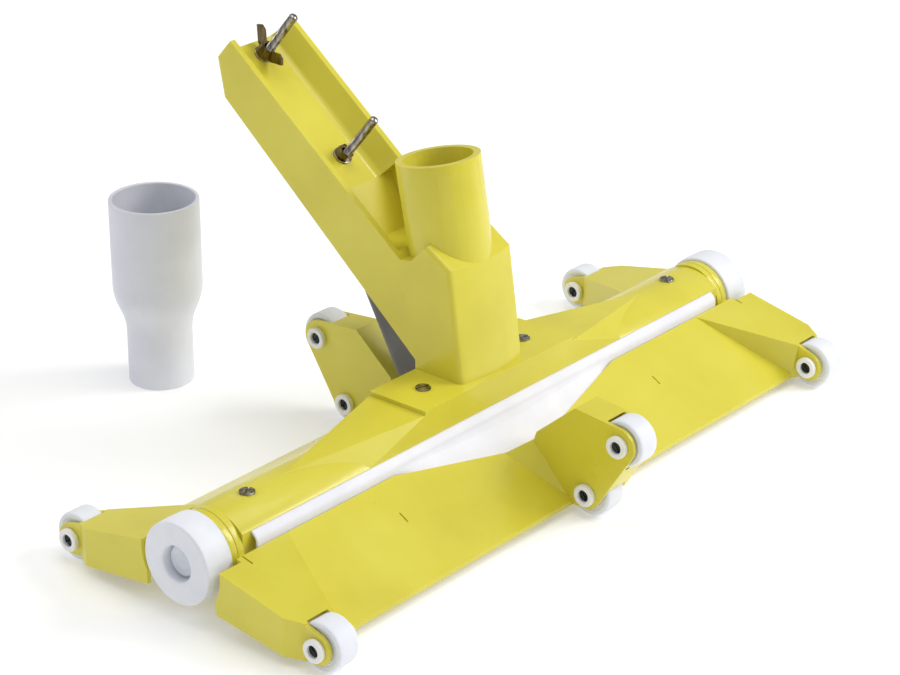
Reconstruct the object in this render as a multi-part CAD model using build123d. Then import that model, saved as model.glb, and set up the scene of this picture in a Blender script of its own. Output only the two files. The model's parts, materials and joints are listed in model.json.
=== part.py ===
from build123d import *
import os
from math import cos, radians, sin, sqrt

# A manual pool vacuum head. Millimetres, +Z up, +X along the head, +Y to the rear.
# The origin is on the floor, below the middle of the hinge line.
# A yellow body carries the hose tower and the pole handle. A front and a rear wing
# fold about one hinge line through the body's ends, on which the two end wheels turn too.

# hinge line and main body
hinge_z = 32.0            # height of the hinge line above the floor
body_length = 396.0
body_half_width = 19.2    # side walls
body_bottom = 26.0
shoulder_z = 43.9         # where the side wall turns into the arched top
arch_top = 51.5
body_wall = 2.4
boss_r = 8.0              # boss for the hinge pin in each end
boss_depth = 14.0

# raised middle of the body, which tapers to a point along the arch on each side
swell_flat = 62.0         # half length of the flat top
swell_foot = 105.0        # half length where its sides meet the shoulder
swell_tip = 150.0         # half length of the point
saddle_z = 57.6           # top of the body's flat, where the tower's base plate sits

# hinge pins and end wheels
pin_r = 5.0
running_gap = 0.05        # radial clearance of everything that turns on a pin
side_gap = 0.35           # sideways clearance between neighbours that turn
ear_wall = 4.0
ear_r = 20.6
big_wheel_r = 22.0
big_wheel_width = 17.5
big_recess_r = 9.6
big_recess_depth = 7.0
pin_head_r = 8.0
pin_head = 2.4

# wings
wing_inner_r = 24.1       # inner edge, from the hinge line
wing_inner_z = 36.0
wing_edge_y = 76.0        # front or rear edge of the plate
wing_edge_z = 6.7
wing_wall = 2.4
wing_end_inset = 2.7      # end wall, inside the end wheel's outer face
end_wheel_inset = 8.0     # outer cheek of the end rollers, inside the same face
end_wall = 2.3
end_wall_bend_y = 68.3    # where the end wall turns inwards to the roller's cheek
end_wall_low = (18.3, 11.9)  # lowest corner at the end wheel
end_wall_toe = (68.3, 5.4)   # and below the bend
wheel_room_r = 27.0       # inner edge beside the end wheel
block_top_slope = 0.213   # fall of the raised end block's top
block_ridge_in = 51.2     # ridge, measured inwards from the end wall at the inner edge
block_ridge_out = 24.5    # and at the roller
block_foot_in = 27.0      # corner where the ridge's facet meets the plate's edge
block_front_y = 77.9
relief_width = 1.0        # relief slits beside the hinge ears
relief_depth = 7.2
plate_slit_x = 107.0
plate_slit = (40.6, 46.4)
plate_slit_width = 0.9
notch_half = 92.0         # V notch in the inner edge, for the membrane
notch_flat = 10.0
notch_depth = 18.2
gusset_half = 21.6        # three-cornered gussets between plate and bracket
gusset_start_y = 39.6
gusset_back = (49.6, 34.1)
rib_depth = 5.0
rib_wall = 2.0
rib_places = (55.0, 100.0, 145.0)

# small wheels
small_wheel_r = 13.0
small_wheel_width = 13.4
wheel_side_gap = 0.5
floor_axle_y = 84.7
upper_axle_y = 105.0
upper_axle_z = 47.7
wheel_room = 1.2          # radial room round a wheel in its slot
floor_ear_r = 8.4
upper_ear_r = 9.8
bush_r = 4.0
bush_flange_r = 6.0
bush_flange = 1.5
screw_r = 2.0
screw_head_r = 3.3
screw_head = 1.6
screw_slot = 0.8

# white seals between body and wings
seal_half_length = 192.0
seal_out = 23.3           # its widest point, from the middle
seal_low_z = 31.0
seal_foot_z = 27.6
membrane_wall = 1.2

# tower, hose socket and base plate, one moulding with the handle
plate_wall = 2.4
tower_half = 25.6         # half width of tower and handle
tower_front_y = -13.0     # front face at the base
tower_crown = 2.6         # rise of the front face's middle over its sides
tower_edge_r = 3.0
tower_front_top = (-4.5, 121.2)
tower_shoulder = (11.0, 132.6)
tower_notch = (22.0, 121.5)
tower_wall = 2.6
socket_tilt = 10.26       # degrees to the rear
socket_mouth = (25.06, 172.2)
socket_r = 22.9           # at the mouth
socket_root_r = 22.2      # 70 mm below it
socket_bore_r = 19.0
socket_depth = 44.0
duct_bore_r = 17.0

# handle: an open channel for the pole
handle_top = (150.5, 215.1)
handle_nose = (160.1, 204.3)
handle_heel = (155.8, 182.0)
handle_knee = (64.4, 103.3)
handle_foot = (19.7, 65.7)
rail_bottom = (29.7, 120.2)
channel_depth = 11.5
channel_half = 22.0       # between the rails
channel_floor_half = 13.0
channel_fillet = 6.0
channel_length = 100.7    # down to the crease where the floor turns steep
channel_end_drop = (13.6, 27.8)  # run and fall of the steep face
channel_floor_wall = 3.5
handle_wall = 3.2
rib_distances = (30.0, 62.0)  # cross ribs under the floor, down from the upper end
rib_drop = 12.0

# clamp studs with washers and wing nuts
stud_r = 2.5
stud_free = 36.5          # above the channel's floor
stud_places = (81.7, 8.5)  # down the channel from its upper end
stud_head_r = 5.0
stud_head = 3.0
washer_r = 5.4
washer_wall = 1.2
nut_hub_r = 4.6
nut_height = 6.0
nut_wing_span = 29.0
nut_wing_height = 10.0
nut_wing_wall = 1.8
hex_nut_r = 4.8           # over its corners
hex_nut_height = 4.0

# rear brace under the handle
brace_half = 20.5
brace_wall = 2.2
brace_foot = (38.5, 44.2)
brace_top = (68.4, 98.8)

# screws in the body's top
cap_screw_r = 2.2
cap_head_r = 4.2
cap_head = 2.2
end_screw_x = 174.7
saddle_screw_x = 41.5

# hose adaptor, standing on its small end behind the head
adaptor_x = -32.7
adaptor_y = 208.4
adaptor_length = 112.0
adaptor_big_r = 25.8
adaptor_small_r = 18.9
adaptor_small_length = 38.0
adaptor_cone = 16.0
adaptor_wall = 2.4

# places worked out from the sizes above
body_half = body_length / 2
ear_inner = (body_half + side_gap, body_half + side_gap + ear_wall)
ear_outer = (ear_inner[1] + side_gap, ear_inner[1] + side_gap + ear_wall)
big_inner = ear_outer[1] + 2 * side_gap
big_outer = big_inner + big_wheel_width
wing_half = big_outer - wing_end_inset
wheel_half = small_wheel_width / 2
cheek_in = wheel_half + wheel_side_gap
cheek_out = cheek_in + end_wall
end_wheel_x = big_outer - end_wheel_inset - cheek_out
wing_inner_y = sqrt(wing_inner_r**2 - (wing_inner_z - hinge_z) ** 2)
wing_slope = (wing_inner_z - wing_edge_z) / (wing_edge_y - wing_inner_y)
saddle_top = saddle_z + plate_wall
FAR = 1000.0


def extrude_yz(points, x_low, x_high):
    """Prism along X of an outline given as (y, z)."""
    face = Face(Wire.make_polygon([Vector(x_low, y, z) for y, z in points], close=True))
    return extrude(face, amount=x_high - x_low, dir=(1, 0, 0))


def rod_x(y, z, radius, x_low, x_high):
    """Round bar along X."""
    start = Plane((x_low, y, z), x_dir=(0, 1, 0), z_dir=(1, 0, 0))
    return start * extrude(Circle(radius), x_high - x_low)


def slab(x_low, x_high, y_low, y_high, z_low, z_high):
    """Box between its lowest and highest corners."""
    size = (x_high - x_low, y_high - y_low, z_high - z_low)
    return Pos(x_low, y_low, z_low) * Box(*size, align=Align.MIN)


def trim(solid, p, q, r, keep):
    """Cut a solid by the plane through three points, and keep the side of the fourth."""
    p, q, r, keep = Vector(*p), Vector(*q), Vector(*r), Vector(*keep)
    normal = (q - p).cross(r - p)
    if normal.dot(keep - p) < 0:
        normal = normal * -1
    return split(solid, bisect_by=Plane(origin=p, z_dir=normal), keep=Keep.TOP)


def turned(solid):
    """The same piece for the front wing: half a turn about the vertical."""
    return Rot(0, 0, 180) * solid


def along_channel(distance, height):
    """(y, z) of a point, measured down the channel's rails from the top and out of them."""
    dy, dz = rail_direction
    return (handle_top[0] - dy * distance - dz * height, handle_top[1] - dz * distance + dy * height)


rail_length = sqrt((handle_top[0] - rail_bottom[0]) ** 2 + (handle_top[1] - rail_bottom[1]) ** 2)
rail_direction = (
    (handle_top[0] - rail_bottom[0]) / rail_length,
    (handle_top[1] - rail_bottom[1]) / rail_length,
)
channel_axis = Vector(0, -rail_direction[1], rail_direction[0])   # out of the channel's floor
socket_axis = Vector(0, sin(radians(socket_tilt)), cos(radians(socket_tilt)))
socket_end = Vector(0, *socket_mouth)


# ---------------------------------------------------------------- main body
def arch(inset, bottom, half_length):
    """Arched section of the body, drawn in by inset, carried along X."""
    side = body_half_width - inset
    low = shoulder_z - inset
    top = arch_top - inset
    outline = Polyline((-side, low), (-side, bottom), (side, bottom), (side, low))
    outline += ThreePointArc((side, low), (0, top), (-side, low))
    section = Plane((-half_length, 0, 0), x_dir=(0, 1, 0), z_dir=(1, 0, 0)) * make_face(outline)
    return extrude(section, 2 * half_length)


def swell(inset, bottom):
    """Raised middle, drawn in by inset, tapering to a point at each side."""
    side = body_half_width - inset
    flat, foot, tip = swell_flat - inset, swell_foot - inset, swell_tip - inset
    top, low = saddle_z - inset, shoulder_z - inset
    lump = slab(-tip, tip, -side, side, bottom, top)
    inside = (0, 0, bottom)
    for end in (-1, 1):
        point = (end * tip, 0, arch_top - inset)
        lump = trim(lump, (end * flat, -side, top), (end * flat, side, top), point, inside)
        for face in (-1, 1):
            corner = (end * flat, face * side, top)
            lump = trim(lump, corner, (end * foot, face * side, low), point, inside)
    return lump


def make_body():
    body = arch(0, body_bottom, body_half) + swell(0, body_bottom + 4)
    body -= arch(body_wall, body_bottom - 1, body_half - body_wall)
    body -= swell(body_wall, body_bottom - 1)
    for end in (-1, 1):
        low, high = sorted((end * body_half, end * (body_half - boss_depth)))
        body += rod_x(0, hinge_z, boss_r, low, high)
        body -= rod_x(0, hinge_z, pin_r, low, high)
        body += screw_boss(end * end_screw_x, arch_top)
        body += screw_boss(end * saddle_screw_x, saddle_z)
        body -= cap_screw(end * end_screw_x, arch_top - cap_head + 1)
        body -= cap_screw(end * saddle_screw_x, saddle_top - cap_head + 1)
    body -= duct_opening(0, saddle_z - 10, saddle_z + 1)
    return body


def screw_boss(x, top):
    """Post under the body's top that a screw bites into."""
    return Pos(x, 0, top - 14) * extrude(Circle(cap_head_r), 11.8)


def cap_screw(x, seat):
    """Slotted pan-head screw, head down to the seat, shank below it."""
    return Pos(x, 0, seat - 9) * extrude(Circle(cap_screw_r), 9) + Pos(x, 0, seat) * extrude(
        Circle(cap_head_r), cap_head
    )


def slotted_cap_screw(x, seat, turn):
    slot = Pos(x, 0, seat + cap_head) * Rot(0, 0, turn) * Box(12, 0.9, 1.8)
    return cap_screw(x, seat) - slot


def duct_opening(inset, low, high):
    """Rectangular way for the water from the body up into the tower."""
    half = tower_half - tower_wall - 1.4 - inset
    front = tower_front_y + tower_wall + 1.2 + inset
    return slab(-half, half, front, body_half_width - body_wall - 1.4 - inset, low, high)


# ---------------------------------------------------------------- tower, socket and handle
def socket_rod(radius, low, high):
    """Round bar on the hose socket's axis, between two distances below its mouth."""
    base = socket_end - socket_axis * low
    return Plane(base, x_dir=(1, 0, 0), z_dir=socket_axis) * extrude(Circle(radius), low - high)


def tower_block():
    """Tower and handle in side view, with a crowned front and rounded front edges."""
    front = tower_front_y - tower_crown
    top = tower_front_top[0] - tower_crown
    outline = [
        (front, saddle_top),
        (top, tower_front_top[1]),
        tower_shoulder,
        tower_notch,
        rail_bottom,
        handle_top,
        handle_nose,
        handle_heel,
        handle_knee,
        handle_foot,
        (body_half_width, handle_foot[1] - 0.5),
        (body_half_width, saddle_top),
    ]
    block = extrude_yz(outline, -tower_half, tower_half)
    crown_r = (tower_half**2 + tower_crown**2) / (2 * tower_crown)
    lean = Vector(0, top - front, tower_front_top[1] - saddle_top).normalized()
    normal = Vector(0, lean.Z, -lean.Y)
    centre = Vector(0, front, saddle_top) + normal * crown_r - lean * 100
    block &= Plane(centre, x_dir=(1, 0, 0), z_dir=lean) * extrude(Circle(crown_r), 500)
    corners = []
    for edge in block.edges():
        middle = edge @ 0.5
        if abs(abs(middle.X) - tower_half) < 0.01 and middle.Y < tower_shoulder[0]:
            if middle.Z > saddle_top + 1:
                corners.append(edge)
    return fillet(corners, tower_edge_r)


def channel_room():
    """What the pole's channel takes out: flat floor, sloping sides, then the steep end."""
    floor, rail, high = channel_floor_half, channel_half, 40
    outline = Polyline(
        (-rail, high),
        (-rail, 0),
        (-floor, -channel_depth),
        (floor, -channel_depth),
        (rail, 0),
        (rail, high),
        close=True,
    )
    section = make_face(outline)
    section = fillet(section.vertices().sort_by(Axis.Y)[:2], channel_fillet)
    base = Vector(0, *along_channel(channel_length, 0))
    along = Vector(0, *rail_direction)
    room = Plane(base, x_dir=(1, 0, 0), z_dir=along) * mirror(section, about=Plane.XZ)
    room = extrude(room, channel_length + 40)
    crease = along_channel(channel_length, -channel_depth)
    foot = (crease[0] - channel_end_drop[0], crease[1] - channel_end_drop[1])
    pocket = [
        crease,
        foot,
        (rail_bottom[0] + 4, foot[1]),
        (rail_bottom[0] + 4, crease[1] + 40),
        along_channel(channel_length, 30),
    ]
    return room + extrude_yz(pocket, -channel_half, channel_half)


def make_tower():
    tower = tower_block()
    low = socket_end - socket_axis * 70
    barrel = Plane(low, x_dir=(1, 0, 0), z_dir=socket_axis) * Cone(
        socket_root_r, socket_r, 70, align=(Align.CENTER, Align.CENTER, Align.MIN)
    )
    tower -= channel_room() - barrel
    shoulder = slab(-FAR, FAR, -FAR, FAR, tower_front_top[1] - 3, FAR)
    tower += barrel & shoulder
    base = body_half_width
    tower += slab(-swell_flat, swell_flat, -base, base, saddle_z, saddle_top)
    # hollow underneath the channel's floor
    under = -channel_depth - channel_floor_wall
    knee, heel = Vector(*handle_knee), Vector(*handle_heel)
    along = (heel - knee).normalized()
    out = Vector(along.Y, -along.X)
    low_end = knee + along * 6 + out * 8
    high_end = heel - along * 10 + out * 6
    hollow = [
        along_channel(handle_wall, under),
        along_channel(channel_length - 8, under),
        (low_end.X, low_end.Y),
        (high_end.X, high_end.Y),
        along_channel(handle_wall, under - stud_head - 1),
    ]
    tower -= extrude_yz(hollow, handle_wall - tower_half, tower_half - handle_wall)
    for distance in rib_distances:
        tower += rib_under(along_channel(distance, under - 0.5))
    # water way: a box duct in the tower, then the socket's bore
    tower -= extrude_yz(duct_outline(), tower_wall - tower_half, tower_half - tower_wall)
    tower -= duct_opening(2.0, saddle_z - 1, saddle_top + 1)
    tower -= socket_rod(duct_bore_r, 64, -1)
    tower -= socket_rod(socket_bore_r, socket_depth, -1)
    for distance in stud_places:
        base = Vector(0, *along_channel(distance, -60))
        tower -= Plane(base, x_dir=(1, 0, 0), z_dir=channel_axis) * extrude(Circle(stud_r), 100)
    for end in (-1, 1):
        tower -= cap_screw(end * saddle_screw_x, saddle_top - cap_head + 1)
    return tower


def rib_under(place):
    """Cross rib below the channel's floor."""
    y, z = place
    dy, dz = rail_direction
    corners = [
        (y, z + 1),
        (y - dy * handle_wall, z + 1 - dz * handle_wall),
        (y - dy * handle_wall + dz * rib_drop, z - dz * handle_wall - dy * rib_drop),
        (y + dz * rib_drop, z - dy * rib_drop),
    ]
    return extrude_yz(corners, 1 - tower_half, tower_half - 1)


def duct_outline():
    """(y, z) outline of the water way inside the tower."""
    front = tower_front_y + tower_wall
    lean = (tower_front_top[0] - tower_front_y) / (tower_front_top[1] - saddle_top)
    top = tower_front_top[1] - 8
    return [
        (front, saddle_top - 0.2),
        (front + lean * (top - saddle_top), top),
        (rail_bottom[0] - 1, top - 4),
        (rail_bottom[0] - 6, handle_foot[1] + 16),
        (body_half_width - tower_wall, handle_foot[1] + 4),
        (body_half_width - tower_wall, saddle_top - 0.2),
    ]


# ---------------------------------------------------------------- wings
def wing_z(y):
    """Height of the wing plate's top at a distance from the middle."""
    return wing_inner_z - wing_slope * (y - wing_inner_y)


def block_z(y):
    """Height of the end block's top."""
    return wing_inner_z - block_top_slope * (y - wing_inner_y)


def drop(points, depth):
    """Prism straight down from a flat outline in space."""
    face = Face(Wire.make_polygon([Vector(*point) for point in points], close=True))
    return extrude(face, amount=depth, dir=(0, 0, -1))


def raised(points, low, high):
    """Upright prism of an outline given as (x, y)."""
    return drop([(x, y, high) for x, y in points], high - low)


def wing_upper(depth):
    """Everything under the wing's upper surfaces, down to a depth. Built for the rear wing."""
    inner, edge = wing_inner_y, wing_edge_y
    top_z, edge_z = wing_z(inner), wing_z(edge)
    ridge, foot = wing_half - block_ridge_in, wing_half - block_foot_in
    crest, cheek = wing_half - block_ridge_out, end_wheel_x + cheek_out
    bend, front = end_wall_bend_y, block_front_y
    upper = drop(
        [(-ridge, inner, top_z), (ridge, inner, top_z), (foot, edge, edge_z), (-foot, edge, edge_z)],
        depth,
    )
    for end in (-1, 1):
        top = [
            (end * ridge, inner, top_z),
            (end * wing_half, inner, top_z),
            (end * wing_half, bend, block_z(bend)),
            (end * cheek, front, block_z(front)),
            (end * crest, front, block_z(front)),
        ]
        facet = [
            (end * ridge, inner, top_z),
            (end * crest, front, block_z(front)),
            (end * foot, edge, edge_z),
        ]
        upper = upper + drop(top, depth) + drop(facet, depth)
    return upper


def end_walls(end, solid):
    """Upright walls of one end block, under its top: along the end, and behind the roller's cheek."""
    outer, inner = wing_half, wing_half - end_wall
    cheek = end_wheel_x + cheek_out
    bend, front = end_wall_bend_y, block_front_y
    crest, foot = wing_half - block_ridge_out, wing_half - block_foot_in
    side = [
        (outer, 10.0),
        (outer, bend),
        (cheek, front),
        (cheek - end_wall, front),
        (inner, bend - 1),
        (inner, 10.0),
    ]
    face = [
        (foot, wing_edge_y),
        (crest + 0.4, front - 0.1),
        (crest + 0.4, front - end_wall - 0.3),
        (foot + 1, wing_edge_y - end_wall - 0.6),
    ]
    walls = raised([(end * x, y) for x, y in side], -20, 60)
    fall = (end_wall_toe[1] - end_wall_low[1]) / (end_wall_toe[0] - end_wall_low[0])
    below = [
        (0, end_wall_low[1] - fall * end_wall_low[0]),
        (100, end_wall_low[1] + fall * (100 - end_wall_low[0])),
        (100, -FAR),
        (0, -FAR),
    ]
    walls -= extrude_yz(below, -FAR, FAR)
    walls += raised([(end * x, y) for x, y in face], wing_edge_z - wing_wall, 60)
    return walls & solid


def disc_hull(circles, corners, x_low, x_high):
    """Plate along X whose outline is the hull of some circles and corners, given as (y, z)."""
    edges = []
    for y, z, radius in circles:
        edges += (Pos(y, z) * Circle(radius)).edges()
    for y, z in corners:
        edges += (Pos(y, z) * Circle(0.4)).edges()
    outline = make_hull(ShapeList(edges))
    return Plane((x_low, 0, 0), x_dir=(0, 1, 0), z_dir=(1, 0, 0)) * extrude(outline, x_high - x_low)


def bracket():
    """Box in the middle of the wing that holds the centre wheels."""
    circles = [
        (upper_axle_y, upper_axle_z, upper_ear_r),
        (floor_axle_y, small_wheel_r, floor_ear_r),
    ]
    corners = [(51.4, 38.6), (76.5, 60.1), (46.0, 20.5), (74.0, 5.0)]
    inner = [(54.6, 38.0), (77.0, 57.2), (50.0, 15.0), (77.0, 2.0), (upper_axle_y + 2, 50.0)]
    shell = disc_hull(circles, corners, -cheek_out, cheek_out)
    return shell - disc_hull([(floor_axle_y, 2.0, 6.0)], inner, -cheek_in, cheek_in)


def gusset(side):
    """Wedge that fills the corner between plate and bracket."""
    inner, front = side * (cheek_out - 1), wing_edge_y - 1
    corners = [
        (side * gusset_half, gusset_start_y, wing_z(gusset_start_y)),
        (inner, *gusset_back),
        (inner, front, wing_z(front)),
    ]
    return drop(corners, 40)


def wheel_stations():
    """(x, y, z) of the axles of one wing's wheels."""
    places = [(x, floor_axle_y, small_wheel_r) for x in (-end_wheel_x, 0, end_wheel_x)]
    return places + [(0, upper_axle_y, upper_axle_z)]


def make_wing():
    """Rear wing. Its hinge ear is the inner one of the pair on the right, the outer one on the left."""
    ears = {-1: ear_outer, 1: ear_inner}
    solid = wing_upper(60)
    wing = solid - Pos(0, 0, -wing_wall) * solid
    wing += gusset(1) + gusset(-1) - Pos(0, 0, -wing_wall / 2) * solid
    wing += bracket()
    for end in (-1, 1):
        wing += end_walls(end, solid)
        for low, corners in ((cheek_in, outer_cheek()), (-cheek_out, inner_cheek())):
            x_low, x_high = sorted((end * (end_wheel_x + low), end * (end_wheel_x + low + end_wall)))
            wing += disc_hull([(floor_axle_y, small_wheel_r, floor_ear_r)], corners, x_low, x_high)
    room = small_wheel_r + wheel_room
    for x, y, z in wheel_stations():
        wing -= rod_x(y, z, room, x - cheek_in, x + cheek_in)
    wing -= slab(-cheek_in, cheek_in, floor_axle_y, wing_edge_y + 40, -5, small_wheel_r)
    # V notch in the inner edge, and small slits
    notch = [
        (-notch_half, wing_inner_y - 1),
        (-notch_half, wing_inner_y),
        (-notch_flat, wing_inner_y + notch_depth),
        (notch_flat, wing_inner_y + notch_depth),
        (notch_half, wing_inner_y),
        (notch_half, wing_inner_y - 1),
    ]
    wing -= raised(notch, -5, 85)
    for x in (-plate_slit_x, plate_slit_x):
        half = plate_slit_width / 2
        wing -= slab(x - half, x + half, *plate_slit, 0, 60)
    for x in rib_places:
        start, foot = wing_inner_y + 8, wing_inner_y + 14
        if x < notch_half:
            start, foot = wing_inner_y + 24, wing_inner_y + 28
        low = -wing_wall - rib_depth
        rib = [
            (start, wing_z(start) - 1),
            (wing_edge_y - 4, wing_z(wing_edge_y - 4) - 1),
            (wing_edge_y - 12, wing_z(wing_edge_y - 12) + low),
            (foot, wing_z(foot) + low),
        ]
        for end in (-1, 1):
            wing += extrude_yz(rib, end * x - rib_wall / 2, end * x + rib_wall / 2)
    # room for the body's seal, the end wheels and the ears of the other wing
    wing -= rod_x(0, hinge_z, wing_inner_r, -FAR, FAR)
    wing -= rod_x(0, hinge_z, wheel_room_r, big_inner - 0.2, FAR)
    wing -= rod_x(0, hinge_z, wheel_room_r, -FAR, 0.2 - big_inner)
    for end, ear in ears.items():
        x_low, x_high = sorted((end * ear[0], end * ear[1]))
        wing += rod_x(0, hinge_z, ear_r, x_low, x_high)
        wing += extrude_yz(ear_web(), x_low, x_high)
        wing -= rod_x(0, hinge_z, pin_r + running_gap, x_low - 1, x_high + 1)
        slit_x = end * (ear[1] + relief_width)
        half = relief_width / 2
        wing -= slab(slit_x - half, slit_x + half, 20, wing_inner_y + relief_depth, 20, 60)
    for x, y, z in wheel_stations():
        wing -= rod_x(y, z, bush_r, x - cheek_out - 1, x + cheek_out + 1)
        for end in (-1, 1):
            face = x + end * cheek_out
            x_low, x_high = sorted((face, face + end * (bush_flange + 0.3)))
            wing -= rod_x(y, z, bush_flange_r + 0.3, x_low, x_high)
    return wing


def outer_cheek():
    """Corners that join the roller's outer cheek to the end wall, as (y, z)."""
    top = block_z(block_front_y) - 0.5
    return [(block_front_y - 3, top), (block_front_y - 6, end_wall_toe[1] + 1)]


def inner_cheek():
    """Corners that join the roller's inner cheek to the block, as (y, z)."""
    top = block_z(block_front_y) - 0.5
    return [(52.0, block_z(52) - 2), (block_front_y - 0.6, top), (56.0, 12.0)]


def ear_web():
    """(y, z) outline of the web between hinge ear and plate."""
    return [
        (ear_r - 6, hinge_z - 11),
        (44.0, 16.0),
        (50.0, block_z(50) - 1),
        (wing_inner_y, wing_inner_z - 0.5),
        (wing_inner_y - 6, hinge_z),
    ]


def make_membrane():
    """Flexible sheet in the wing's V notch, up to the seal."""
    edge = wing_inner_y
    outline = [(-notch_half, edge), (-notch_flat, edge + notch_depth)]
    outline += [(notch_flat, edge + notch_depth), (notch_half, edge)]
    sheet = drop([(x, y, wing_z(y)) for x, y in outline], membrane_wall)
    return sheet - rod_x(0, hinge_z, wing_inner_r, -FAR, FAR)


# ---------------------------------------------------------------- seals
def make_seal():
    """Rear seal strip, on the body's side wall."""
    side = body_half_width
    profile = [
        (side, shoulder_z),
        (seal_out, wing_inner_z),
        (seal_out, seal_low_z),
        (side, seal_foot_z),
    ]
    return extrude_yz(profile, -seal_half_length, seal_half_length)


# ---------------------------------------------------------------- wheels, bushes and screws
def make_big_wheel(end):
    low, high = sorted((end * big_inner, end * big_outer))
    wheel = chamfer(rod_x(0, hinge_z, big_wheel_r, low, high).edges(), 0.8)
    floor = end * (big_outer - big_recess_depth)
    wheel -= rod_x(0, hinge_z, big_recess_r, *sorted((floor, end * (big_outer + 1))))
    return wheel - rod_x(0, hinge_z, pin_r + running_gap, low - 1, high + 1)


def make_hinge_pin(end):
    inner = end * (body_half - boss_depth)
    seat = end * (big_outer - big_recess_depth + side_gap)
    top = end * (big_outer - big_recess_depth + side_gap + pin_head)
    pin = rod_x(0, hinge_z, pin_r, *sorted((inner, seat)))
    return pin + rod_x(0, hinge_z, pin_head_r, *sorted((seat, top)))


def make_small_wheel(x, y, z):
    wheel = rod_x(y, z, small_wheel_r, x - wheel_half, x + wheel_half)
    wheel = chamfer(wheel.edges(), 0.7)
    return wheel - rod_x(y, z, bush_r + running_gap, x - FAR, x + FAR)


def make_bushes(x, y, z):
    """Two flanged bushes, pushed in from both sides, that the wheel turns on."""
    pair = []
    for end in (-1, 1):
        face = x + end * cheek_out
        bush = rod_x(y, z, bush_r, *sorted((x, face)))
        bush += rod_x(y, z, bush_flange_r, *sorted((face, face + end * bush_flange)))
        bush -= rod_x(y, z, screw_r, x - 2 * cheek_out, x + 2 * cheek_out)
        seat = face + end * (bush_flange - screw_head)
        bush -= rod_x(y, z, screw_head_r, *sorted((seat, face + end * (bush_flange + 1))))
        pair.append(bush)
    return pair


def make_axle_screw(x, y, z):
    """Screw through both bushes, with a slotted head at each side."""
    screw = rod_x(y, z, screw_r, x - cheek_out, x + cheek_out)
    for end in (-1, 1):
        face = x + end * (cheek_out + bush_flange)
        screw += rod_x(y, z, screw_head_r, *sorted((face - end * screw_head, face)))
        slot = Pos(face, y, z) * Rot(35, 0, 0) * Box(screw_slot * 2, screw_slot, 20)
        screw -= slot
    return screw


# ---------------------------------------------------------------- clamp studs
def on_stud(distance, height, shape):
    """Place a shape that stands along +Z on the channel's floor, at a stud."""
    base = Vector(0, *along_channel(distance, -channel_depth)) + channel_axis * height
    return Plane(base, x_dir=(1, 0, 0), z_dir=channel_axis) * shape


def make_stud(distance):
    low = -channel_floor_wall
    shank = on_stud(distance, low, extrude(Circle(stud_r), stud_free - low))
    head = on_stud(distance, low - stud_head, extrude(RegularPolygon(stud_head_r, 6), stud_head))
    return shank + head


def make_washer(distance):
    return on_stud(distance, 0, extrude(Circle(washer_r) - Circle(stud_r + 0.3), washer_wall))


def make_wing_nut(distance, turn):
    """Hub with two ears that lean outwards."""
    nut = Cone(nut_hub_r + 0.6, nut_hub_r - 0.6, nut_height, align=(Align.CENTER, Align.CENTER, Align.MIN))
    half = nut_wing_span / 2
    for end in (-1, 1):
        ear = make_face(
            Polyline(
                (end * 2, 0.6),
                (end * 7, 1.2),
                (end * half, nut_wing_height * 0.75),
                (end * (half - 2.5), nut_wing_height),
                (end * (half - 6), nut_wing_height),
                (end * 3, nut_height - 0.6),
                close=True,
            )
        )
        nut += Plane.XZ.offset(-nut_wing_wall / 2) * extrude(ear, nut_wing_wall)
    nut -= Cylinder(stud_r + running_gap, 60)
    return on_stud(distance, washer_wall + 0.1, Rot(0, 0, turn) * nut)


def make_hex_nut(distance):
    nut = extrude(RegularPolygon(hex_nut_r, 6), hex_nut_height) - Cylinder(stud_r, 60)
    return on_stud(distance, washer_wall, nut)


# ---------------------------------------------------------------- brace and adaptor
def make_brace():
    """Rounded hollow brace behind the tower, under the handle."""
    outline = [
        (body_half_width, shoulder_z + 1.2),
        brace_foot,
        brace_top,
        handle_knee,
        handle_foot,
        (body_half_width, saddle_top),
    ]
    brace = extrude_yz(outline, -brace_half, brace_half)
    back = Vector(0, brace_top[0] - brace_foot[0], brace_top[1] - brace_foot[1]).normalized()
    edges = [edge for edge in brace.edges() if abs((edge % 0.5).dot(back)) > 0.999]
    brace = fillet(edges, 8)
    room = extrude_yz(
        [
            (body_half_width - 1, shoulder_z + 4),
            (brace_foot[0] - 2.5, brace_foot[1] + 2.6),
            (brace_top[0] - 4, brace_top[1] - 3),
            (handle_knee[0] - 1, handle_knee[1] + 4),
            (handle_foot[0] - 1, handle_foot[1] + 4),
        ],
        brace_wall - brace_half,
        brace_half - brace_wall,
    )
    return brace - room


def make_adaptor():
    small, big = adaptor_small_r, adaptor_big_r
    cone_top = adaptor_small_length + adaptor_cone
    solids = []
    for wall, spare in ((0, 0), (adaptor_wall, 1)):
        outline = [
            (0, -spare),
            (small - wall, -spare),
            (small - wall, adaptor_small_length),
            (big - wall, cone_top),
            (big - wall, adaptor_length + spare),
            (0, adaptor_length + spare),
        ]
        face = make_face(Polyline(*outline, close=True))
        solids.append(revolve(Plane.XZ * face, axis=Axis.Z))
    return Pos(adaptor_x, adaptor_y, 0) * (solids[0] - solids[1])


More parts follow.
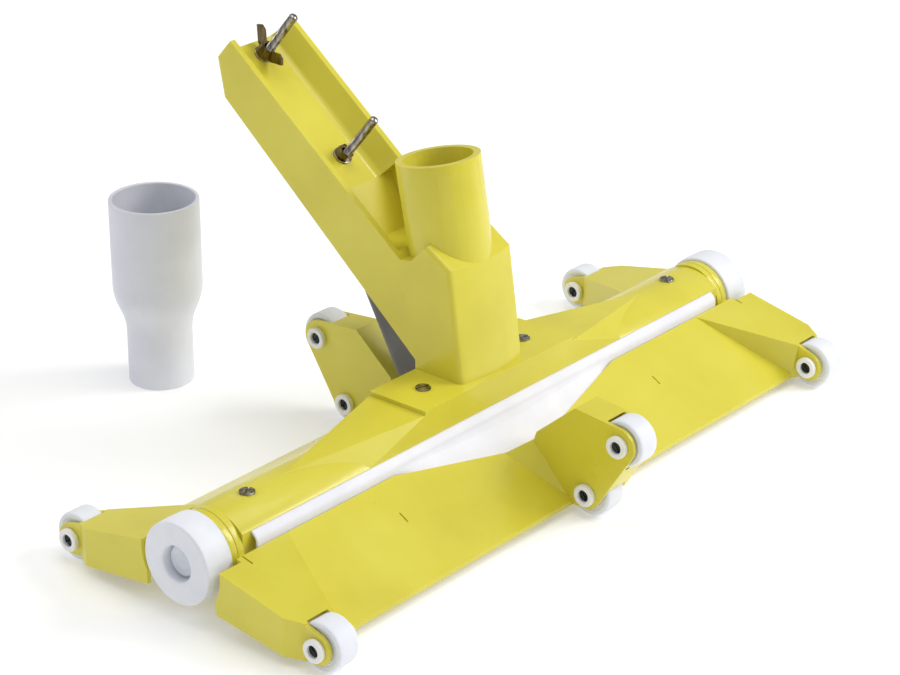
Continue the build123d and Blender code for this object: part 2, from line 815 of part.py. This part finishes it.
# ---------------------------------------------------------------- the assembly
nodes = {
    "main_body": make_body(),
    "hose_tower": make_tower(),
    "rear_brace": make_brace(),
    "hose_adaptor": make_adaptor(),
    "seal_strip_rear": make_seal(),
    "seal_strip_front": turned(make_seal()),
    "rear_wing": make_wing(),
    "front_wing": turned(make_wing()),
    "rear_membrane": make_membrane(),
    "front_membrane": turned(make_membrane()),
    "body_end_screws": Compound(
        children=[slotted_cap_screw(end * end_screw_x, arch_top - cap_head + 1, 30) for end in (-1, 1)]
    ),
    "saddle_screws": Compound(
        children=[slotted_cap_screw(end * saddle_screw_x, saddle_top - cap_head + 1, -20) for end in (-1, 1)]
    ),
}
for end, side in ((-1, "left"), (1, "right")):
    nodes["end_wheel_" + side] = make_big_wheel(end)
    nodes["hinge_pin_" + side] = make_hinge_pin(end)
for wing in ("front", "rear"):
    bushes, screws = [], []
    names = ["left_wheel", "centre_wheel", "right_wheel", "upper_wheel"]
    if wing == "front":
        names[0], names[2] = names[2], names[0]
    for name, place in zip(names, wheel_stations()):
        parts = [make_small_wheel(*place), make_axle_screw(*place)] + make_bushes(*place)
        if wing == "front":
            parts = [turned(part) for part in parts]
        nodes[wing + "_" + name] = parts[0]
        screws.append(parts[1])
        bushes += parts[2:]
    nodes[wing + "_axle_screws"] = Compound(children=screws)
    nodes[wing + "_bushes"] = Compound(children=bushes)
for distance, level in zip(stud_places, ("lower", "upper")):
    nodes["clamp_stud_" + level] = make_stud(distance)
    nodes["stud_washer_" + level] = make_washer(distance)
nodes["hex_nut_lower"] = make_hex_nut(stud_places[0])
nodes["wing_nut_upper"] = make_wing_nut(stud_places[1], 80)

os.makedirs("parts", exist_ok=True)
for name, shape in nodes.items():
    export_step(shape, "parts/" + name + ".step")
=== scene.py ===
import json
import math

import bpy
import numpy as np
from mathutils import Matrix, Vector


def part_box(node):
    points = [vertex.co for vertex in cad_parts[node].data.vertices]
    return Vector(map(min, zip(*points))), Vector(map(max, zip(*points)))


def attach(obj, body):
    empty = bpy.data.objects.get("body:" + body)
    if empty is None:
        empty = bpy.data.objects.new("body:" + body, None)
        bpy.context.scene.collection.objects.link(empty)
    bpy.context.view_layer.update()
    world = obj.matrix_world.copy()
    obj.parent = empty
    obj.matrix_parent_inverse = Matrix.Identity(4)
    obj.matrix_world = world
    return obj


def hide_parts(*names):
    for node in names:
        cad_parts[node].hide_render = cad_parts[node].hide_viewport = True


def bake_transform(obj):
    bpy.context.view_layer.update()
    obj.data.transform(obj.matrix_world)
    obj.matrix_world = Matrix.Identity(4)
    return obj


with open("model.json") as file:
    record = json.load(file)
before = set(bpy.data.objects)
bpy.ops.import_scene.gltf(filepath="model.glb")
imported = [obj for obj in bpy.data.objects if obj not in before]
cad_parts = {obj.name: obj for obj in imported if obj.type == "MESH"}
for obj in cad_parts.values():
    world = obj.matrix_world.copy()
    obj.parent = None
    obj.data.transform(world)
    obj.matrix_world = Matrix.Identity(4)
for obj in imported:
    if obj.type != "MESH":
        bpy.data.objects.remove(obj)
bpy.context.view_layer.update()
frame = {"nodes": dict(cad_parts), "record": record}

mm = 0.001
nodes = frame["nodes"]
print("frame loaded:", len(nodes), "nodes")


# ---- camera, floor and lights ----
view = {
    "azimuth": -49.65, "elevation": 24.4,      # degrees round the object, and above the horizon
    "target": (9.7, 24.9, 64.4), "distance": 1524.5, "lens": 112.2,
}
studio = {
    "floorSize": 9.0, "floorShade": 0.9, "floorGlow": 0.24, "worldStrength": 0.41,
    "key": 32, "fill": 1.6, "rim": 10, "top": 15,
}


def addCamera():
    turn, rise = math.radians(view["azimuth"]), math.radians(view["elevation"])
    back = Vector((math.sin(turn) * math.cos(rise), -math.cos(turn) * math.cos(rise), math.sin(rise)))
    data = bpy.data.cameras.new("camera")
    data.lens = view["lens"]
    data.clip_start, data.clip_end = 0.05, 60.0
    camera = bpy.data.objects.new("camera", data)
    camera.location = Vector(view["target"]) * mm + back * view["distance"] * mm
    camera.rotation_mode = "QUATERNION"
    camera.rotation_quaternion = (-back).to_track_quat("-Z", "Y")
    bpy.context.scene.collection.objects.link(camera)
    bpy.context.scene.camera = camera


def addLight(name, place, aim, width, height, power, tint):
    data = bpy.data.lights.new(name, "AREA")
    data.shape = "RECTANGLE"
    data.size, data.size_y = width, height
    data.energy, data.color = power, tint
    light = bpy.data.objects.new(name, data)
    light.location = place
    light.rotation_mode = "QUATERNION"
    light.rotation_quaternion = (Vector(aim) - Vector(place)).to_track_quat("-Z", "Y")
    bpy.context.scene.collection.objects.link(light)


def addStudio():
    half = studio["floorSize"] / 2
    mesh = bpy.data.meshes.new("floor")
    corners = [(-half, -half, 0), (half, -half, 0), (half, half, 0), (-half, half, 0)]
    mesh.from_pydata(corners, [], [(0, 1, 2, 3)])
    floor = bpy.data.objects.new("floor", mesh)
    bpy.context.scene.collection.objects.link(floor)
    material = bpy.data.materials.new("paleFloor")
    material.use_nodes = True
    shader = material.node_tree.nodes["Principled BSDF"]
    shade = studio["floorShade"]
    shader.inputs["Base Color"].default_value = (shade, shade, shade, 1)
    shader.inputs["Roughness"].default_value = 0.75
    shader.inputs["Emission Color"].default_value = (1, 1, 1, 1)
    shader.inputs["Emission Strength"].default_value = studio["floorGlow"]
    mesh.materials.append(material)
    world = bpy.data.worlds.new("studio")
    world.use_nodes = True
    world.node_tree.nodes["Background"].inputs["Color"].default_value = (1, 1, 1, 1)
    world.node_tree.nodes["Background"].inputs["Strength"].default_value = studio["worldStrength"]
    bpy.context.scene.world = world
    bpy.context.scene.view_settings.view_transform = "Standard"
    addLight("keyLight", (1.5, -1.5, 1.5), (0, 0, 0.05), 1.2, 1.2, studio["key"], (0.99, 0.99, 1))
    addLight("fillLight", (-2.0, -0.9, 0.9), (0, 0, 0.08), 1.6, 1.6, studio["fill"], (0.75, 0.86, 1))
    addLight("rimLight", (-0.6, 2.0, 1.4), (0, 0, 0.1), 1.4, 0.8, studio["rim"], (1, 1, 1))
    addLight("topLight", (0.1, -0.2, 2.2), (0, 0, 0.1), 1.5, 1.5, studio["top"], (1, 1, 1))


# ---- material helpers ----
def newMaterial(name):
    material = bpy.data.materials.new(name)
    material.use_nodes = True
    return material, material.node_tree, material.node_tree.nodes["Principled BSDF"]


def noiseNode(tree, scale, detail, stretch=(1, 1, 1)):
    # noise(stretch * object point), from 0 to 1
    place = tree.nodes.new("ShaderNodeTexCoord")
    mapping = tree.nodes.new("ShaderNodeMapping")
    mapping.inputs["Scale"].default_value = stretch
    noise = tree.nodes.new("ShaderNodeTexNoise")
    noise.inputs["Scale"].default_value = scale
    noise.inputs["Detail"].default_value = detail
    tree.links.new(place.outputs["Object"], mapping.inputs["Vector"])
    tree.links.new(mapping.outputs["Vector"], noise.inputs["Vector"])
    return noise


def rampNode(tree, source, stops):
    # piecewise linear from the source value to the colours at the stops
    ramp = tree.nodes.new("ShaderNodeValToRGB")
    elements = ramp.color_ramp.elements
    while len(elements) < len(stops):
        elements.new(0.5)
    for element, (place, colour) in zip(elements, stops):
        element.position = place
        element.color = (*colour, 1)
    tree.links.new(source, ramp.inputs["Fac"])
    return ramp


def greyRange(low, high):
    return [(0.25, (low,) * 3), (0.75, (high,) * 3)]


def bumpNode(tree, source, strength, distance):
    bump = tree.nodes.new("ShaderNodeBump")
    bump.inputs["Strength"].default_value = strength
    bump.inputs["Distance"].default_value = distance
    tree.links.new(source, bump.inputs["Height"])
    return bump


def linear(red, green, blue):
    # sRGB 0 to 255 to linear light: ((c + 0.055) / 1.055) ** 2.4
    return tuple(((c / 255 + 0.055) / 1.055) ** 2.4 for c in (red, green, blue))


# ---- finishes ----
yellowLook = {
    "deep": (212, 200, 54), "body": (221, 210, 64), "pale": (226, 216, 76),
    "roughLow": 0.26, "roughHigh": 0.40, "grain": 0.05,
}


def yellowAbs():
    # colour = ramp(cloud noise), roughness = ramp(smudge noise), height = fine grain
    material, tree, shader = newMaterial("yellowAbs")
    cloud = noiseNode(tree, 16, 4)
    places = {"deep": 0.30, "body": 0.52, "pale": 0.75}
    colours = [(place, linear(*yellowLook[shade])) for shade, place in places.items()]
    ramp = rampNode(tree, cloud.outputs["Fac"], colours)
    tree.links.new(ramp.outputs["Color"], shader.inputs["Base Color"])
    smudge = noiseNode(tree, 60, 5, (0.4, 1, 1))
    rough = rampNode(tree, smudge.outputs["Fac"], greyRange(yellowLook["roughLow"], yellowLook["roughHigh"]))
    tree.links.new(rough.outputs["Color"], shader.inputs["Roughness"])
    grain = noiseNode(tree, 900, 3)
    bump = bumpNode(tree, grain.outputs["Fac"], yellowLook["grain"], 0.0004)
    tree.links.new(bump.outputs["Normal"], shader.inputs["Normal"])
    shader.inputs["Subsurface Weight"].default_value = 0.08
    shader.inputs["Subsurface Radius"].default_value = (0.006, 0.005, 0.001)
    shader.inputs["Subsurface Scale"].default_value = 0.5
    shader.inputs["Coat Weight"].default_value = 0.25
    shader.inputs["Coat Roughness"].default_value = 0.12
    return material


def plainPlastic(name, low, high, roughLow, roughHigh, scale, grain):
    # colour = ramp(noise) between two shades, roughness from a second noise, height = fine grain
    material, tree, shader = newMaterial(name)
    cloud = noiseNode(tree, scale, 4)
    ramp = rampNode(tree, cloud.outputs["Fac"], [(0.3, linear(*low)), (0.7, linear(*high))])
    tree.links.new(ramp.outputs["Color"], shader.inputs["Base Color"])
    smudge = noiseNode(tree, scale * 3, 5)
    rough = rampNode(tree, smudge.outputs["Fac"], greyRange(roughLow, roughHigh))
    tree.links.new(rough.outputs["Color"], shader.inputs["Roughness"])
    fine = noiseNode(tree, 1100, 2)
    bump = bumpNode(tree, fine.outputs["Fac"], grain, 0.0004)
    tree.links.new(bump.outputs["Normal"], shader.inputs["Normal"])
    return material


def metal(name, low, high, roughLow, roughHigh, metallic):
    # brushed: the noise is stretched across the part, in colour, roughness and height
    material, tree, shader = newMaterial(name)
    brush = noiseNode(tree, 400, 4, (1, 1, 0.15))
    ramp = rampNode(tree, brush.outputs["Fac"], [(0.3, linear(*low)), (0.7, linear(*high))])
    tree.links.new(ramp.outputs["Color"], shader.inputs["Base Color"])
    rough = rampNode(tree, brush.outputs["Fac"], greyRange(roughLow, roughHigh))
    tree.links.new(rough.outputs["Color"], shader.inputs["Roughness"])
    bump = bumpNode(tree, brush.outputs["Fac"], 0.15, 0.0002)
    tree.links.new(bump.outputs["Normal"], shader.inputs["Normal"])
    shader.inputs["Metallic"].default_value = metallic
    return material


finishes = {
    "yellow_abs": yellowAbs(),
    "white_wheel": plainPlastic("whiteWheel", (226, 229, 236), (241, 243, 249), 0.42, 0.6, 40, 0.12),
    "white_bush": plainPlastic("whiteBush", (236, 236, 234), (246, 246, 245), 0.3, 0.42, 90, 0.06),
    "white_seal": plainPlastic("whiteSeal", (231, 231, 240), (245, 244, 250), 0.5, 0.65, 25, 0.15),
    "grey_brace": plainPlastic("greyBrace", (80, 79, 82), (104, 102, 105), 0.4, 0.55, 30, 0.15),
    "dark_screw": metal("darkScrew", (26, 30, 34), (66, 72, 78), 0.3, 0.5, 0.85),
    "brass": metal("dullBrass", (60, 50, 30), (134, 118, 82), 0.2, 0.38, 1.0),
    "steel": metal("plainSteel", (92, 86, 78), (196, 190, 180), 0.14, 0.3, 1.0),
    "pin_white": plainPlastic("pinWhite", (208, 214, 222), (226, 231, 236), 0.35, 0.5, 60, 0.08),
    "adaptor_white": plainPlastic("adaptorWhite", (216, 218, 228), (231, 233, 242), 0.42, 0.55, 20, 0.08),
}
print("finishes ready:", len(finishes))


# ---- shapes ----
def boxOf(node):
    low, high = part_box(node)
    return np.array(low), np.array(high)


def rounded(points, radius, steps=5, closed=True):
    # each corner becomes (1 - t)^2 a + 2 t (1 - t) corner + t^2 b, with a and b on its two sides
    points = [np.array(point, float) for point in points]
    share = np.linspace(0, 1, steps + 1)[:, None]
    out = []
    for number, corner in enumerate(points):
        if not closed and number in (0, len(points) - 1):
            out.append(corner[None, :])
            continue
        before, after = points[number - 1] - corner, points[(number + 1) % len(points)] - corner
        reach = [min(radius, 0.45 * np.linalg.norm(side)) / np.linalg.norm(side) for side in (before, after)]
        start, end = corner + before * reach[0], corner + after * reach[1]
        out.append((1 - share) ** 2 * start + 2 * share * (1 - share) * corner + share**2 * end)
    return np.concatenate(out)


def gridFaces(rows, columns, wrapRows, wrapColumns):
    row = np.arange(rows if wrapRows else rows - 1)
    column = np.arange(columns if wrapColumns else columns - 1)
    i, j = np.meshgrid(row, column, indexing="ij")
    i, j = i.ravel(), j.ravel()
    down, right = (i + 1) % rows, (j + 1) % columns
    return np.stack([i * columns + j, down * columns + j, down * columns + right, i * columns + right], 1)


def spun(profile, centre, axis, count=96, closed=True):
    # point = centre + along * axis + radius * (cos(t) * side + sin(t) * other), in metres
    profile = np.array(profile) * mm
    axis = np.array(axis, float) / np.linalg.norm(axis)
    side = np.cross(axis, (0, 0, 1) if abs(axis[2]) < 0.9 else (1, 0, 0))
    side /= np.linalg.norm(side)
    other = np.cross(axis, side)
    turn = np.linspace(0, 2 * np.pi, count, endpoint=False)
    ring = np.cos(turn)[:, None] * side + np.sin(turn)[:, None] * other
    points = profile[:, 0, None, None] * axis + profile[:, 1, None, None] * ring[None]
    points = points + np.array(centre)
    return points.reshape(-1, 3), gridFaces(len(profile), count, closed, True)


def makePiece(name, parts, finish, body, replaced, soft=True):
    starts = np.cumsum([0] + [len(points) for points, _ in parts])
    points = np.concatenate([points for points, _ in parts])
    faces = np.concatenate([faces + start for (_, faces), start in zip(parts, starts)])
    mesh = bpy.data.meshes.new(name)
    mesh.from_pydata(points.tolist(), [], faces.tolist())
    mesh.update()
    mesh.polygons.foreach_set("use_smooth", np.full(len(faces), soft))
    mesh.materials.append(finishes[finish])
    piece = bpy.data.objects.new(name, mesh)
    bpy.context.scene.collection.objects.link(piece)
    if body:
        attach(piece, body)
    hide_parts(*replaced)
    return piece


# ---- end wheels and their pins ----
endWheel = {
    "bore": 5.05, "recess": 9.6, "recessDepth": 7.0, "edge": 1.3, "crown": 0.25,
    "pin": 5, "pinHead": 8.0, "pinHeadWall": 2.4, "pinHeadRim": 2.2, "pinHeadDish": 0.5, "pinEdge": 0.5,
}
closeToAxis = 0.05      # radius at which a turned piece closes on its axis


def addEndWheel(side, way):
    node = "end_wheel_" + side
    low, high = boxOf(node)
    centre = (low + high) / 2
    half, outer = (high[0] - low[0]) / 2 / mm, (high[2] - low[2]) / 2 / mm
    floor = half - endWheel["recessDepth"]
    shape = [
        (-half, endWheel["bore"]), (-half, outer), (0, outer + endWheel["crown"]), (half, outer),
        (half, endWheel["recess"]), (floor, endWheel["recess"]), (floor, endWheel["bore"]),
    ]
    profile = rounded(shape, endWheel["edge"])
    makePiece(side + "EndWheel", [spun(profile, centre, (way, 0, 0), 128)], "white_wheel", node, [node])
    node = "hinge_pin_" + side
    low, high = boxOf(node)
    inner, tip = sorted((abs(low[0]), abs(high[0])))
    seat = (tip - endWheel["pinHeadWall"] * mm - inner) / mm
    tip = (tip - inner) / mm
    pin, head, rim = endWheel["pin"], endWheel["pinHead"], endWheel["pinHeadRim"]
    dish = tip - endWheel["pinHeadDish"]
    shape = [
        (0, closeToAxis), (0, pin), (seat, pin), (seat, head), (tip, head), (tip, head - rim),
        (dish, head - rim - 0.8), (dish, closeToAxis),
    ]
    profile = rounded(shape, endWheel["pinEdge"])
    pinStart = (way * inner, 0, centre[2])
    makePiece(side + "HingePin", [spun(profile, pinStart, (way, 0, 0), 72)], "pin_white", "head", [node])


# ---- rollers and their bushes ----
roller = {
    "edge": 2.0, "bore": 4.05, "faceDish": 0.5, "tread": 2.6, "dishEdge": 3.2, "cheek": 2.8,
    "bush": 4.0, "bushHole": 2.05, "bushEdge": 0.75, "flange": 6.1, "flangeWall": 3.1,
    "screwHead": 3.3, "screwGap": 0.05, "screwSink": 3.2,
}


def rollerCentre(node):
    low, high = boxOf(node)
    return (low + high) / 2, (high[0] - low[0]) / 2 / mm, (high[2] - low[2]) / 2 / mm


def addRollers(wing):
    bushes = []
    for place in ("left", "centre", "right", "upper"):
        node = wing + "_" + place + "_wheel"
        centre, half, outer = rollerCentre(node)
        dish = half - roller["faceDish"]
        inside, tread = outer - roller["dishEdge"], outer - roller["tread"]
        shape = [
            (-dish, roller["bore"]), (-dish, inside), (-half, tread), (-half, outer),
            (half, outer), (half, tread), (dish, inside), (dish, roller["bore"]),
        ]
        profile = rounded(shape, roller["edge"])
        name = wing + place.title() + "Roller"
        makePiece(name, [spun(profile, centre, (1, 0, 0))], "white_wheel", node, [node])
        cheek = half + roller["cheek"]
        face = cheek + roller["flangeWall"]
        sink = face - roller["screwSink"]
        hole, seat = roller["bushHole"], roller["screwHead"] + roller["screwGap"]
        shape = [
            (0, hole), (0, roller["bush"]), (cheek, roller["bush"]), (cheek, roller["flange"]),
            (face, roller["flange"]), (face, seat), (sink, seat), (sink, hole),
        ]
        profile = rounded(shape, roller["bushEdge"], 6)
        bushes += [spun(profile, centre, (way, 0, 0), 72) for way in (-1, 1)]
    makePiece(wing + "Bushes", bushes, "white_bush", wing + "_wing", [wing + "_bushes"])


# ---- clamp studs ----
stud = {"radius": 2.5, "dome": 1.3, "head": 4.6, "headWall": 3}


def addStud(level):
    node = "clamp_stud_" + level
    low, high = boxOf(node)
    rise = np.array([0, low[1] - high[1], high[2] - low[2]])
    rise /= np.linalg.norm(rise)
    points = np.array([vertex.co for vertex in nodes[node].data.vertices])
    far = points @ rise
    axisPoint = points[far > far.max() - 1e-5].mean(0)
    length = (far.max() - far.min()) / mm
    radius = stud["radius"]
    turn = np.linspace(0.02, np.pi / 2, 10)
    dome = [(length - stud["dome"] * (1 - math.cos(t)), radius * math.sin(t)) for t in turn]
    head, wall = stud["head"], stud["headWall"]
    shape = [(0, closeToAxis), (0, head), (wall, head), (wall, radius)] + dome[::-1]
    start = axisPoint - rise * length * mm
    makePiece(level + "Stud", [spun(shape, start, rise, 64, False)], "steel", "head", [node])


# ---- adaptor ----
adaptor = {
    "small": 18.9, "smallLength": 38.0, "cone": 16.0, "wall": 2.4, "edge": 0.9, "bend": 7.0,
    "lipStep": 0.3, "outerRound": 0.25, "innerRound": 0.7, "innerStep": 0.1,
}


def addAdaptor():
    low, high = boxOf("hose_adaptor")
    centre = (low + high) / 2
    big, top = (high[0] - low[0]) / 2 / mm, (high[2] - low[2]) / mm
    small, step, wall = adaptor["small"], adaptor["smallLength"], adaptor["wall"]
    cone = step + adaptor["cone"]
    edge, lipStep = adaptor["edge"], adaptor["lipStep"]
    outerRound, innerRound, innerStep = (adaptor[key] for key in ("outerRound", "innerRound", "innerStep"))
    outline = [(edge, small), (step, small), (cone, big), (top - edge, big)]
    bore = [(along, radius - wall) for along, radius in outline[::-1]]
    outside = rounded(outline, adaptor["bend"], 10, False)
    inside = rounded(bore, adaptor["bend"], 10, False)
    lip = [
        (top - lipStep, big - outerRound), (top, big - edge),
        (top, big - wall + innerRound), (top - lipStep, big - wall + innerStep),
    ]
    foot = [
        (lipStep, small - wall + innerStep), (0, small - wall + innerRound),
        (0, small - edge), (lipStep, small - outerRound),
    ]
    profile = np.concatenate([outside, lip, inside, foot])
    makePiece("adaptor", [spun(profile, (centre[0], centre[1], low[2]), (0, 0, 1), 128)],
              "adaptor_white", "adaptor", ["hose_adaptor"])


# ---- seal band and flexible membrane ----
seal = {
    "top": (19.35, 43.7), "bulge": (23.1, 38.6), "low": (23.2, 31.2),      # (out, up) at the body
    "notchHalf": 92.0, "notchFlat": 10.0, "sheetWall": 1.2, "overlap": 0.4, "sink": 0.9, "spread": 6,
    "sag": 3.4, "sagLean": 0.8, "ripple": 0.35, "folds": 9, "foldLean": 0.03,
    "groove": 0.9, "groovePlace": 0.14, "grooveWidth": 0.05, "wall": 1.0,
    "along": 385, "upperRows": 9, "lowerRows": 22,                         # grid counts
    "blendNear": 23.5, "blendFar": 31, "blendHeight": 0.035,               # where head gives way to wing
}


def addSeal(wing, way):
    # z and y follow a curve from the body's shoulder over the bulge to the wing's notched edge, which sags
    # by sag * sin(pi * v) * opening; ripple adds faint folds, groove a bell-shaped furrow under the bulge
    strip = boxOf("seal_strip_" + wing)
    sheet = boxOf(wing + "_membrane")
    x = np.linspace(strip[0][0] / mm, strip[1][0] / mm, seal["along"])
    outer = max(abs(sheet[0][1]), abs(sheet[1][1])) / mm
    edgeZ = (sheet[0][2] / mm + seal["sheetWall"], sheet[1][2] / mm)
    opening = np.clip((seal["notchHalf"] - abs(x)) / (seal["notchHalf"] - seal["notchFlat"]), 0, 1)
    endY = seal["low"][0] + (outer + seal["overlap"] - seal["low"][0]) * opening
    blend = np.clip(opening * seal["spread"], 0, 1)
    notchZ = edgeZ[1] - (edgeZ[1] - edgeZ[0]) * opening - seal["sink"]
    endZ = seal["low"][1] * (1 - blend) + notchZ * blend
    (topY, topZ), (bulgeY, bulgeZ) = seal["top"], seal["bulge"]
    rows = []
    for share in np.linspace(0, 1, seal["upperRows"])[:-1]:
        y = topY + (bulgeY - topY) * math.sin(share * np.pi / 2)
        z = topZ + (bulgeZ - topZ) * share
        rows.append(np.stack([x, np.full_like(x, y), np.full_like(x, z)], 1))
    for v in np.linspace(0, 1, seal["lowerRows"]):
        sag = seal["sag"] * np.sin(np.pi * v ** seal["sagLean"]) * opening
        wave = np.sin(v * seal["folds"] + seal["foldLean"] * x)
        ripple = seal["ripple"] * wave * opening * math.sin(np.pi * v)
        furrow = math.exp(-(((v - seal["groovePlace"]) / seal["grooveWidth"]) ** 2))
        groove = seal["groove"] * furrow * opening
        y = bulgeY + (endY - bulgeY) * v
        z = bulgeZ + (endZ - bulgeZ) * v - sag + ripple - groove
        rows.append(np.stack([x, y, z], 1))
    points = np.array(rows)
    points[:, :, 1] *= way
    if way > 0:
        points = points[:, ::-1]      # keeps the faces outwards on the rear side
    faces = gridFaces(len(points), len(x), False, False)
    replaced = ["seal_strip_" + wing, wing + "_membrane"]
    piece = makePiece(wing + "Seal", [(points.reshape(-1, 3) * mm, faces)], "white_seal", None, replaced)
    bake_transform(piece)
    wall = piece.modifiers.new("wall", "SOLIDIFY")
    wall.thickness, wall.offset = seal["wall"] * mm, -1


# ---- CAD nodes: finishes and moulded edges ----
moulded = {      # radius of the rounded edges, node by node
    "main_body": 0.7, "hose_tower": 0.9, "front_wing": 0.7, "rear_wing": 0.7, "rear_brace": 1.2,
    "hex_nut_lower": 0.35, "wing_nut_upper": 0.5, "stud_washer_lower": 0.25, "stud_washer_upper": 0.25,
    "front_axle_screws": 0.25, "rear_axle_screws": 0.25, "saddle_screws": 0.3, "body_end_screws": 0.3,
}
softening = {"merge": 0.00001, "flatAngle": 1.0, "edgeAngle": 32, "segments": 3}


def coatNodes():
    for row in frame["record"]["subparts"]:
        mesh = nodes[row["node"]].data
        mesh.materials.clear()
        mesh.materials.append(finishes[row["material_slot"]])


def softenNode(node, width):
    piece = nodes[node]
    weld = piece.modifiers.new("weld", "WELD")
    weld.merge_threshold = softening["merge"]
    flat = piece.modifiers.new("flat", "DECIMATE")
    flat.decimate_type = "DISSOLVE"
    flat.angle_limit = math.radians(softening["flatAngle"])
    bevel = piece.modifiers.new("edge", "BEVEL")
    bevel.width, bevel.segments = width * mm, softening["segments"]
    bevel.limit_method, bevel.angle_limit = "ANGLE", math.radians(softening["edgeAngle"])
    bevel.use_clamp_overlap = True
    bevel.harden_normals = True


addCamera()
addStudio()
coatNodes()
print("studio and finishes in place")
for side, way in (("left", -1), ("right", 1)):
    addEndWheel(side, way)
for wing in ("front", "rear"):
    addRollers(wing)
for level in ("lower", "upper"):
    addStud(level)
addAdaptor()
addSeal("front", -1)
addSeal("rear", 1)
print("detailed pieces in place")
for node, width in moulded.items():
    softenNode(node, width)
print("edges rounded")
